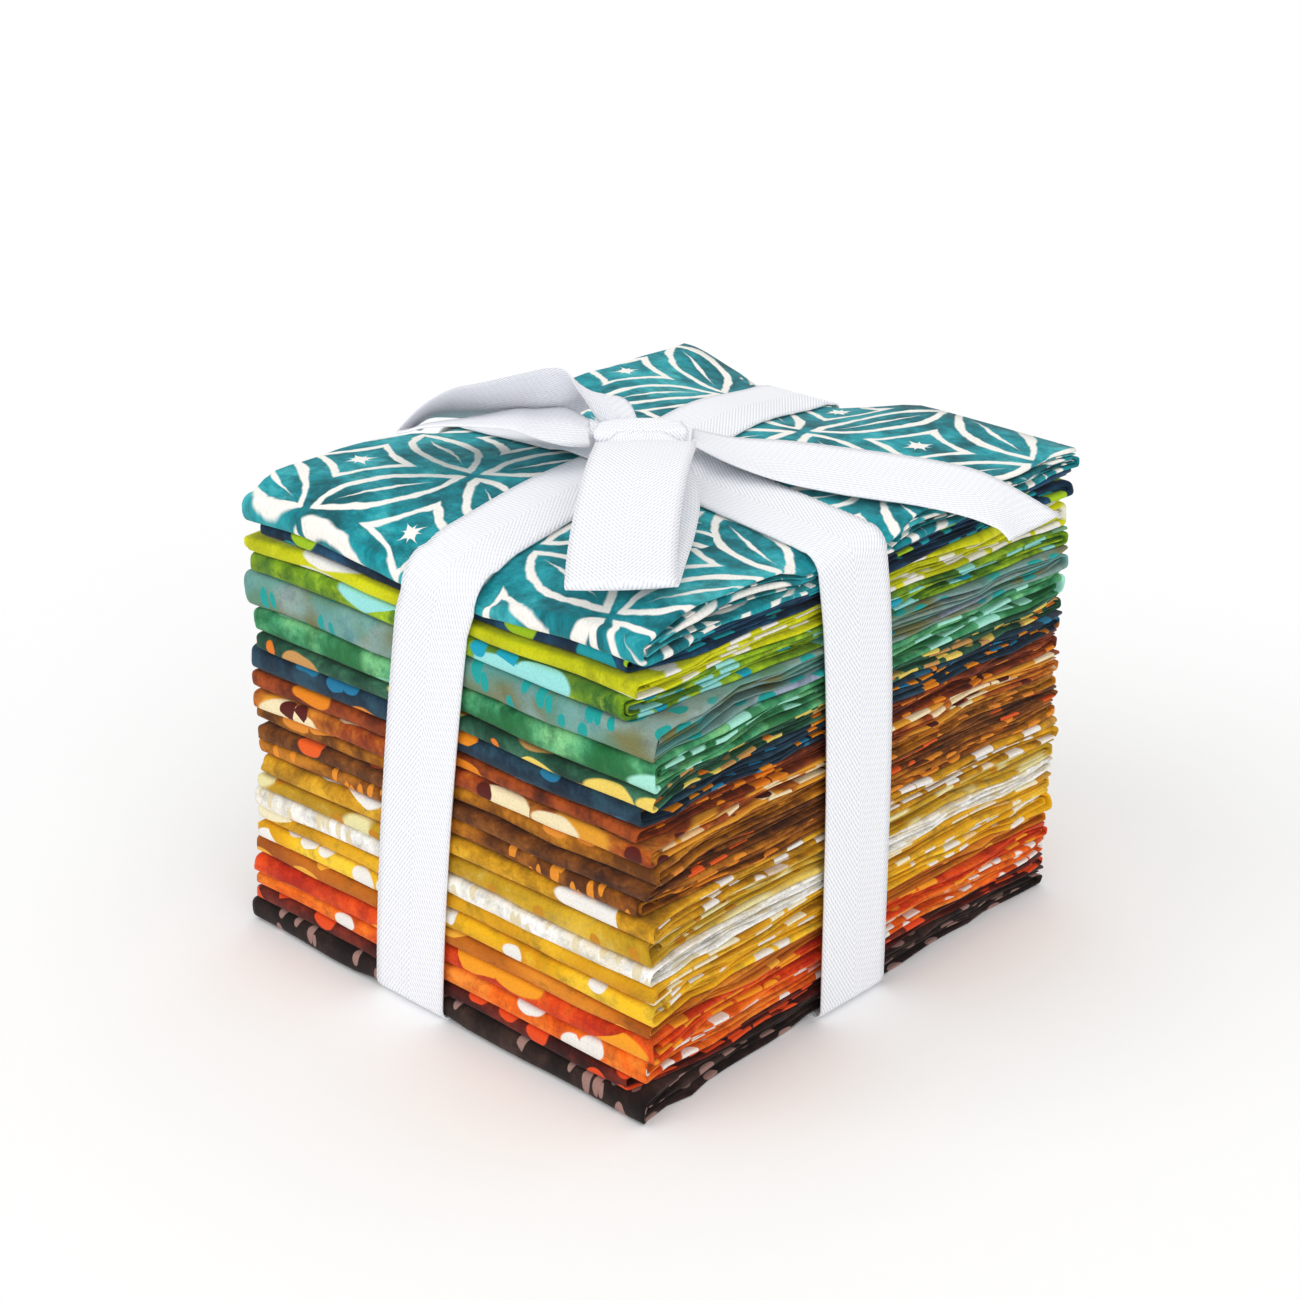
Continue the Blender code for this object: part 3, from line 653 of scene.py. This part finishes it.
white = "f8f5ee"
quarterLooks = [
    dict(ground=["04656f", "0a8590", "129aa5", "42b4ba"], mottle=38.0, seed=3, spread=0.24,
         motifs=[dict(shape="leafLattice", colour=white, size=0.047, shift=(0.1, 0.32, 0), turn=24.0,
                      washed=0.06)]),
    dict(ground=["0b2137", "153853", "1d5072"], seed=2,
         motifs=[spots("17a0ac", 0.0075, 0.27, stretch=2.4, turn=6, keep=0.42),
                 spots("a9cf1d", 0.0085, 0.26, stretch=1.8, keep=0.2, shift=(4, 2, 0))]),
    dict(ground=["b9bd00", "dede04", "efee1c"], seed=5, mottle=30.0,
         motifs=[spots(white, 0.0105, 0.33, stretch=2.6, turn=14, keep=0.6)]),
    dict(ground=["2f6320", "6d9a18", "9fc318", "bfdc34"], seed=8, mottle=40.0, spread=0.26,
         motifs=[areas("33692a", 0.026, 0.36, soft=0.05, strength=0.8),
                 spots("9ee8e4", 0.010, 0.31, stretch=2.4, turn=-10, keep=0.4),
                 spots("12a6c4", 0.007, 0.24, keep=0.12, shift=(3, 7, 0))]),
    dict(ground=["5c8c8c", "7d9f98", "95aa9f", "9ea8c0"], seed=9, mottle=30.0, spread=0.26,
         motifs=[areas("7a7430", 0.016, 0.38, soft=0.09, strength=0.85),
                 areas("46a8a0", 0.032, 0.36, soft=0.05, strength=0.45, shift=(5, 1, 0)),
                 spots("18a5a0", 0.009, 0.2, stretch=0.5, turn=12, keep=0.3)]),
    dict(ground=["1f6a3c", "379060", "5cb078", "86cf8c"], seed=12, mottle=48.0, spread=0.26,
         motifs=[areas("1c6a34", 0.024, 0.35, soft=0.04, strength=0.8),
                 spots("aef0dc", 0.0105, 0.32, stretch=2.6, turn=8, keep=0.42)]),
    dict(ground=["14402f", "24563f", "3f7558"], seed=14,
         motifs=[spots("cf9a58", 0.008, 0.28, stretch=2.2, turn=5, keep=0.32),
                 spots("f6d766", 0.0085, 0.3, stretch=2.0, turn=-8, keep=0.26, shift=(5, 3, 0)),
                 spots("ea7d1c", 0.006, 0.22, keep=0.12, shift=(1.6, 9.3, 0))]),
    dict(ground=["0f2233", "193346", "26485a"], seed=17,
         motifs=[spots("f08f16", 0.0065, 0.27, stretch=2.4, turn=4, keep=0.3),
                 spots("1f7ba4", 0.0065, 0.25, stretch=1.8, keep=0.2, shift=(2, 5, 0))]),
    dict(ground=["4a1a0a", "7c300c", "a84a10"], seed=19,
         motifs=[spots("f08a14", 0.007, 0.25, stretch=2.6, turn=4, keep=0.34)]),
    dict(ground=["6d220e", "a8480f", "dd8a28"], seed=22, spread=0.26, mottle=34.0,
         motifs=[areas("f0a62c", 0.022, 0.38, soft=0.03, strength=0.9),
                 spots("fbe9bd", 0.0095, 0.33, stretch=2.4, turn=12, keep=0.46),
                 spots("5a160c", 0.007, 0.25, keep=0.2, shift=(2, 8, 0))]),
    dict(ground=["6b3a0a", "a8640c", "cf8a16"], seed=25,
         motifs=[spots("ec9434", 0.0065, 0.22, stretch=2.0, keep=0.28)]),
    dict(ground=["3d1d0b", "6d3a10", "98591a"], seed=27,
         motifs=[spots("f0601c", 0.0085, 0.3, stretch=1.5, turn=8, keep=0.3)]),
    dict(ground=["5f2f0a", "96530f", "c27a18"], seed=30,
         motifs=[spots("ef9426", 0.0085, 0.26, stretch=0.4, turn=-12, keep=0.5)]),
    dict(ground=["a8740a", "d69a10", "ecb528"], seed=32,
         motifs=[spots(white, 0.0085, 0.31, stretch=2.8, turn=10, keep=0.5)]),
    dict(ground=["b4860e", "dcae20", "f0d672"], seed=35, spread=0.26, mottle=30.0,
         motifs=[areas("f6efb4", 0.024, 0.38, soft=0.03, strength=0.9),
                 spots("cf8a12", 0.005, 0.22, keep=0.16, shift=(2, 2, 0))]),
    dict(ground=["f0e8d2", "faf8f2", "fefdfb"], seed=37,
         motifs=[spots("e8d6a4", 0.0085, 0.22, stretch=0.35, turn=8, keep=0.45, strength=0.75)]),
    dict(ground=["cf8c06", "eeb212", "fac934"], seed=40, mottle=30.0,
         motifs=[spots("fbf0cc", 0.0105, 0.33, stretch=3.0, turn=10, keep=0.36)]),
    dict(ground=["e09a04", "fbc010", "ffd53a"], seed=43, mottle=30.0,
         motifs=[spots(white, 0.0075, 0.28, stretch=1.3, turn=12, keep=0.46)]),
    dict(ground=["a04c08", "cf7210", "ea9226"], seed=46, mottle=30.0,
         motifs=[spots("fbb83a", 0.007, 0.24, stretch=2.0, keep=0.24)]),
    dict(ground=["c22706", "ea4a0c", "fb7a18"], seed=48, spread=0.24, mottle=32.0,
         motifs=[spots("ffa41e", 0.0095, 0.3, stretch=2.2, turn=14, keep=0.4)]),
    dict(ground=["dd4c06", "fa7210", "ff9430"], seed=51, mottle=32.0,
         motifs=[spots(white, 0.0070, 0.28, stretch=1.6, turn=-14, keep=0.46)]),
    dict(ground=["360c0a", "58170f", "7b2818"], seed=53,
         motifs=[spots("f0501a", 0.0085, 0.31, stretch=1.2, turn=10, keep=0.4)]),
    dict(ground=["160d0b", "2b1a15", "44302a"], seed=56,
         motifs=[spots("a48078", 0.0075, 0.22, stretch=0.5, turn=10, keep=0.4)]),
]

cloths = []
for index, look in enumerate(quarterLooks):
    finish = printedCotton(f"cotton_{index + 1:02d}", look)
    cloths.append(foldedQuarter(index, finish))
for index, cloth in enumerate(cloths):
    below = cloths[index + 1].name if index < last else "ribbon_lengthways"
print("fat quarters folded:", len(cloths))

tape = dict(wale=0.0017, slope=1.6, thick=0.5, columns=10)


def herringbone(name):
    finish = Finish(name)
    at = finish.node("ShaderNodeUVMap", dict(uv_map="cloth"))
    along, across = finish.xy(at)
    phase = (along + abs(across) * tape["slope"]) * (2 * math.pi / tape["wale"])
    wale = phase.sine() * 0.5 + 0.5
    cross = (across * (2 * math.pi / 0.0009)).sine() * 0.5 + 0.5
    yarn = finish.noise(at, 1300.0, 2.0)
    rib = wale * 0.7 + cross * 0.18 + yarn * 0.25
    # the ramp paints the weave's grooves a bluish grey and its ridges white: painted shade of the twill's relief,
    # added on top of the bump made from the same heights
    shade = finish.node("ShaderNodeValToRGB", dict(stops=[(0.15, ink("d3d7e2")), (0.45, ink("f1f2f7")),
                                                          (0.8, ink("fdfdff"))]), {"Fac": rib})
    broad = finish.noise(at, 40.0, 2.0)
    colour = finish.mix(broad * 0.10, shade, ink("e4e8f2"))
    fine = finish.node("ShaderNodeBump", {}, {"Strength": 0.6, "Distance": 0.00026, "Height": rib})
    soft = finish.node("ShaderNodeBump", {}, {"Strength": 0.2, "Distance": 0.0008,
                                              "Height": finish.noise(at, 90.0, 2.0), "Normal": fine})
    finish.fill(finish.shader, {"Base Color": colour, "Roughness": yarn * 0.1 + 0.74, "Normal": soft,
                                "Sheen Weight": 0.12, "Specular IOR Level": 0.3})
    return finish.material


def selvedge(name):
    # the tape's two woven edges, plain but for the yarn
    finish = Finish(name)
    at = finish.node("ShaderNodeTexCoord", {}, {}, 3)
    yarn = finish.noise(at, 900.0, 2.0)
    colour = finish.mix(yarn * 0.4, ink("fbfbfe"), ink("dfe3ec"))
    finish.fill(finish.shader, {"Base Color": colour, "Roughness": yarn * 0.1 + 0.74,
                                "Sheen Weight": 0.12, "Specular IOR Level": 0.3})
    return finish.material


ribbonFinish = herringbone("twillTape")
ribbonEdge = selvedge("tapeSelvedge")


def topHeight(x, y):
    return levels(x, y)[0]


def driftAcross(along, z, half, crossing, leans, foot, power):
    # middle line of a band where it comes down a face
    onTop = overTop(np.clip(along, -half, half), crossing, leans)
    share = np.clip(z / bandPath["topLevel"], 0, 1)
    return foot + (onTop - foot) * share ** power


# rows along a band and where its stretches begin and end, in millimetres
bandPath = dict(topRows=46, faceRows=14, underRows=40, faceHigh=112.0, faceLow=12.0, footRadius=3.0,
                footRun=8.0, topLevel=128.0, bendLevel=126.0, humpFlat=15.5, humpReach=24.0,
                underFlat=13.5, underReach=17.5)


def bandLoop(name, alongAxis, low, high, half, crossing, leans, foot, power, humps, bends):
    # A closed ring of ribbon round the stack: over the top, down a face, beneath and up again.
    # bends are the radii at the low and high ends of the top.
    clear = stack["gap"] + tape["thick"] / 2 + 0.1
    v = np.linspace(-bands["width"] / 2, bands["width"] / 2, tape["columns"] + 1)
    faceHigh, faceLow = bandPath["faceHigh"], bandPath["faceLow"]
    footRadius = bandPath["footRadius"]
    path = []
    for along in np.linspace(low + bends[0], high - bends[1], bandPath["topRows"]):
        path.append((along, "top", 0.0))
    for angle in (75, 60, 45, 30, 15, 0):
        path.append((high - bends[1] + bends[1] * math.cos(math.radians(angle)), "high", angle))
    for z in np.linspace(faceHigh, faceLow, bandPath["faceRows"]):
        path.append((high, "face", z))
    for angle in (0, 22, 45, 68, 90):
        path.append((high - footRadius + footRadius * math.cos(math.radians(angle)), "foot", angle))
    for along in np.linspace(high - bandPath["footRun"], low + bandPath["footRun"], bandPath["underRows"]):
        path.append((along, "under", 0.0))
    for angle in (90, 68, 45, 22, 0):
        path.append((low + footRadius - footRadius * math.cos(math.radians(angle)), "foot", angle))
    for z in np.linspace(faceLow, faceHigh, bandPath["faceRows"]):
        path.append((low, "face", z))
    for angle in (0, 15, 30, 45, 60, 75):
        path.append((low + bends[0] - bends[0] * math.cos(math.radians(angle)), "low", angle))
    rows = []
    floorZ = tape["thick"] / 2 + 0.02

    def place(along, across):
        return (across, along) if alongAxis == "y" else (along, across)

    def restOn(along, middle):
        inside = np.clip(along, -half, half)
        x, y = place(inside + 0 * v, middle + v)
        return topHeight(x, y) + clear

    for along, kind, value in path:
        if kind == "face":
            middle = driftAcross(along, value, half, crossing, leans, foot, power)
            z = value + 0 * v
        elif kind in ("high", "low"):
            middle = driftAcross(along, bandPath["bendLevel"], half, crossing, leans, foot, power)
            radius = bends[1] if kind == "high" else bends[0]
            edge = high - radius if kind == "high" else low + radius
            z = restOn(edge, middle) - radius + radius * math.sin(math.radians(value))
        elif kind == "top":
            middle = float(overTop(along, crossing, leans))
            z = restOn(along, middle)
            if humps:
                z = z + bands["step"] * fade(along - crossing[0], bandPath["humpFlat"], bandPath["humpReach"])
        elif kind == "foot":
            middle = foot
            z = floorZ + footRadius - footRadius * math.sin(math.radians(value)) + 0 * v
        else:
            middle = foot
            z = floorZ + 0 * v
            if humps:
                past = along - bands["lengthwaysFoot"]
                z = z + bands["step"] * fade(past, bandPath["underFlat"], bandPath["underReach"])
        x, y = place(along + 0 * v, middle + v)
        rows.append(np.stack([x, y, z], -1))
    points = np.stack(rows)
    centre = points[:, tape["columns"] // 2]
    steps = np.linalg.norm(np.diff(centre, axis=0), axis=1)
    run = np.concatenate([[0.0], np.cumsum(steps)])
    uv = np.stack(np.broadcast_arrays(run[:, None] * mm, v[None, :] * mm), -1)
    mesh = meshOf(name, points, uv, closed=True)
    piece = addPiece(name + "_tape", mesh, tape["thick"], name, ribbonFinish, ribbonEdge)
    return piece


clearance = stack["gap"] + tape["thick"] / 2
mostOut = max(row["out"] for row in quarters)
sides = [row["side"] for row in quarters]
bandLoop("ribbon_lengthways", "y", -stack["y"] / 2 - mostOut - clearance - 0.3, stack["y"] / 2 + clearance,
         stack["y"] / 2, (bands["crossY"], bands["crossX"]), bands["lengthwaysLeans"],
         bands["lengthwaysFoot"], 1.4, False, (9.0, 4.0))
bandLoop("ribbon_crossways", "x", -stack["x"] / 2 + min(sides) - clearance,
         stack["x"] / 2 + max(sides) + clearance, stack["x"] / 2, (bands["crossX"], bands["crossY"]),
         bands["crosswaysLeans"], bands["crosswaysFoot"], 4.0, True, (6.0, 6.0))
print("ribbon bands laid")

# the bow: right is towards the right corner, near towards the near corner, up from the knot
knot = dict(halfHeight=4.0, length=26.0, width=15.0, wrapLength=0.034, taper=0.22, bulge=0.07,
            wrapWide=0.86, wrapHigh=0.8, wrapDrop=0.4, wrapEnds=1.6, wrapSkew=0.8, around=40, along=18)
knotMiddle = Vector((bands["crossX"], bands["crossY"],
                     float(topHeight(np.array(bands["crossX"]), np.array(bands["crossY"])))
                     + 2.8 + stack["gap"] + knot["halfHeight"]))
leftLoop = dict(columns=("right", "near", "up", "lean", "skew", "width"), rows=[
    (-10.4, -5.6, 0.9, 88, 84, 10.0), (-13.4, -4.6, 6.4, 78, 66, 13.0), (-16.3, -2.2, 11.9, 68, 38, 18.0),
    (-19.2, 0.3, 17.3, 50, 18, 25.0), (-23.4, 0.6, 18.2, 42, 10, 25.4), (-31.0, 1.2, 16.8, 46, 0, 25.4),
    (-40.5, 2.0, 14.9, 50, 0, 25.4), (-48.2, 3.0, 13.6, 55, 0, 25.4), (-55.3, 5.0, 10.2, 64, 2, 25.4),
    (-60.2, 8.0, 6.4, 71, 6, 25.4), (-62.0, 11.0, 4.8, 74, 8, 25.4), (-60.0, 13.0, 5.2, 73, 6, 25.4),
    (-55.0, 13.5, 6.6, 73, 0, 25.4), (-48.0, 13.5, 7.0, 75, 0, 25.4), (-40.0, 13.5, 6.6, 79, 0, 25.4),
    (-32.5, 13.5, 5.8, 84, 0, 25.4), (-26.5, 13.8, 3.6, 89, 0, 25.4), (-19.0, 12.8, 1.2, 96, 0, 23.5),
    (-13.2, 8.4, -0.6, 98, 0, 15.0)])
nearLoop = dict(columns=("right", "near", "up", "turn", "tilt", "width"), rows=[
    (0.0, 5.0, 1.9, 0, 0, 12.0), (0.6, 8.2, 0.6, 0, 0, 19.0), (1.0, 12.5, 0.9, 0, 0, 23.0),
    (1.0, 18.0, 3.6, 0, 0, 25.0), (0.5, 27.0, 5.6, 0, 0, 25.4),
    (-2.0, 45.0, 5.6, -3, 0, 25.4), (-4.5, 65.0, 2.4, -5, 0, 25.4), (-6.0, 82.0, -1.0, -4, 0, 25.4),
    (-6.5, 93.5, -2.6, -3, 0, 25.4), (-6.6, 96.0, -3.6, -3, 0, 25.4), (-6.0, 93.5, -4.8, -3, 0, 25.4),
    (-4.0, 80.0, -4.9, -2, 0, 25.4), (-1.0, 60.0, -4.6, 2, 0, 25.4), (1.0, 40.0, -4.0, 3, 0, 25.4),
    (1.5, 24.0, -2.6, 0, 0, 23.0), (0.5, 7.6, -1.8, 0, 0, 15.0)])
tail = dict(columns=("right", "near", "up", "turn", "tilt", "width"), slant=7.0, rows=[
    (13.3, 1.0, -0.6, 94, 0, 12.0), (23.0, 8.0, -2.0, 96, 0, 20.0), (36.0, 12.5, -3.4, 97, -6, 24.0),
    (52.0, 17.0, -4.8, 98, -8, 25.4), (70.0, 22.5, -5.8, 99, -8, 25.4), (82.0, 27.0, -7.2, 101, -8, 25.4),
    (90.0, 30.0, -9.8, 103, -6, 25.4), (96.0, 31.5, -13.0, 106, -4, 25.4)])


bow = dict(gatherReach=7.0, pleats=5)


def bowPoint(right, near, up):
    diagonal = math.sqrt(0.5)
    return knotMiddle + Vector(((right + near) * diagonal, (right - near) * diagonal, up))


def smoothRows(piece, steps):
    table = [dict(zip(piece["columns"], row)) for row in piece["rows"]]
    out = []
    for i in range(len(table) - 1):
        before, here = table[max(i - 1, 0)], table[i]
        after, beyond = table[i + 1], table[min(i + 2, len(table) - 1)]
        for step in range(steps):
            t = step / steps
            out.append({key: 0.5 * (2 * here[key] + (after[key] - before[key]) * t
                                    + (2 * before[key] - 5 * here[key] + 4 * after[key] - beyond[key]) * t * t
                                    + (3 * here[key] - before[key] - 3 * after[key] + beyond[key]) * t ** 3)
                        for key in piece["columns"]})
    out.append(table[-1])
    return out


def edgesOf(row):
    # the two edges of a ribbon section, for a loop on edge or a strand that lies flat
    if "lean" in row:
        lean, skew = math.radians(row["lean"]), math.radians(row["skew"])
        down = Vector((math.sin(lean) * math.sin(skew), -math.sin(lean) * math.cos(skew),
                       -math.cos(lean))) * row["width"]
        upper = Vector((row["right"], row["near"], row["up"]))
        return upper, upper + down
    turn, tilt = math.radians(row["turn"]), math.radians(row["tilt"])
    side = Vector((math.cos(turn) * math.cos(tilt), math.sin(turn) * math.cos(tilt),
                   math.sin(tilt))) * row["width"] / 2
    middle = Vector((row["right"], row["near"], row["up"]))
    return middle - side, middle + side


def bowPiece(name, piece, steps, curl, pleat, slant=0.0):
    rows = []
    sections = smoothRows(piece, steps)
    count = tape["columns"]
    for i, row in enumerate(sections):
        first, second = edgesOf(row)
        if slant:
            push = slant * max(0.0, i - (len(sections) - 1 - steps)) / steps
            first = first + Vector((push, 0, -0.6 * push))
            second = second - Vector((0.4 * push, 0, 0))
        rows.append([bowPoint(*(first + (second - first) * (j / count))) for j in range(count + 1)])
    points = np.array([[tuple(p) for p in row] for row in rows])
    ahead = np.gradient(points, axis=0)
    across = np.gradient(points, axis=1)
    normal = np.cross(ahead, across)
    normal /= np.linalg.norm(normal, axis=2, keepdims=True)
    v = np.linspace(0, 1, count + 1)
    run = np.concatenate([[0.0], np.cumsum(np.linalg.norm(np.diff(points[:, count // 2], axis=0), axis=1))])
    gathered = np.exp(-run / bow["gatherReach"])
    if not slant:
        gathered = gathered + np.exp(-(run[-1] - run) / bow["gatherReach"])
    pleats = pleat * gathered[:, None] * np.sin(bow["pleats"] * math.pi * v)[None, :]
    shape = curl * np.sin(math.pi * v)[None, :] + pleats
    points = points + normal * shape[:, :, None]
    width = bands["width"]
    uv = np.stack(np.broadcast_arrays(run[:, None] * mm, ((v - 0.5) * width * mm)[None, :]), -1)
    made = addPiece(name + "_tape", meshOf(name, points, uv), tape["thick"], name,
                    ribbonFinish, ribbonEdge)
    return made


bowPiece("ribbon_loop_left", leftLoop, 5, 0.5, 0.35)
bowPiece("ribbon_loop_near", nearLoop, 5, 0.4, 0.3)
bowPiece("ribbon_tail", tail, 6, 0.3, 0.25, slant=tail["slant"])


def knotWrap(knot):
    # a short turn of ribbon round the bow's middle, gathered in lengthwise folds
    around, along = knot["around"], knot["along"]
    rows = []
    folds = ripples(77, 3.0, 9.0, 5)
    for i in range(around):
        angle = 2 * math.pi * i / around
        row = []
        for j in range(along + 1):
            t = 2 * j / along - 1
            taper = 1 - knot["taper"] * abs(t) ** 2.5
            bulge = 1 + knot["bulge"] * float(folds(angle * 5.0, t * 1.2))
            near = math.cos(angle) * knot["width"] / 2 * knot["wrapWide"] * taper * bulge
            up = math.sin(angle) * knot["halfHeight"] * knot["wrapHigh"] * taper * bulge
            up = up - knot["wrapDrop"]
            right = t * (knot["length"] / 2 - knot["wrapEnds"])
            right = right + knot["wrapSkew"] * math.sin(angle * 2.0) * t
            row.append(tuple(bowPoint(right, near, up)))
        rows.append(row)
    points = np.array(rows)
    half = bands["width"] * mm / 2
    place = np.linspace(0, knot["wrapLength"], around)
    uv = np.stack(np.broadcast_arrays(place[:, None], np.linspace(-half, half, along + 1)[None, :]), -1)
    made = addPiece("ribbon_knot_tape", meshOf("ribbon_knot", points, uv, closed=True), tape["thick"],
                    "ribbon_knot", ribbonFinish, ribbonEdge)
    return made


knotWrap(knot)
print("bow tied")
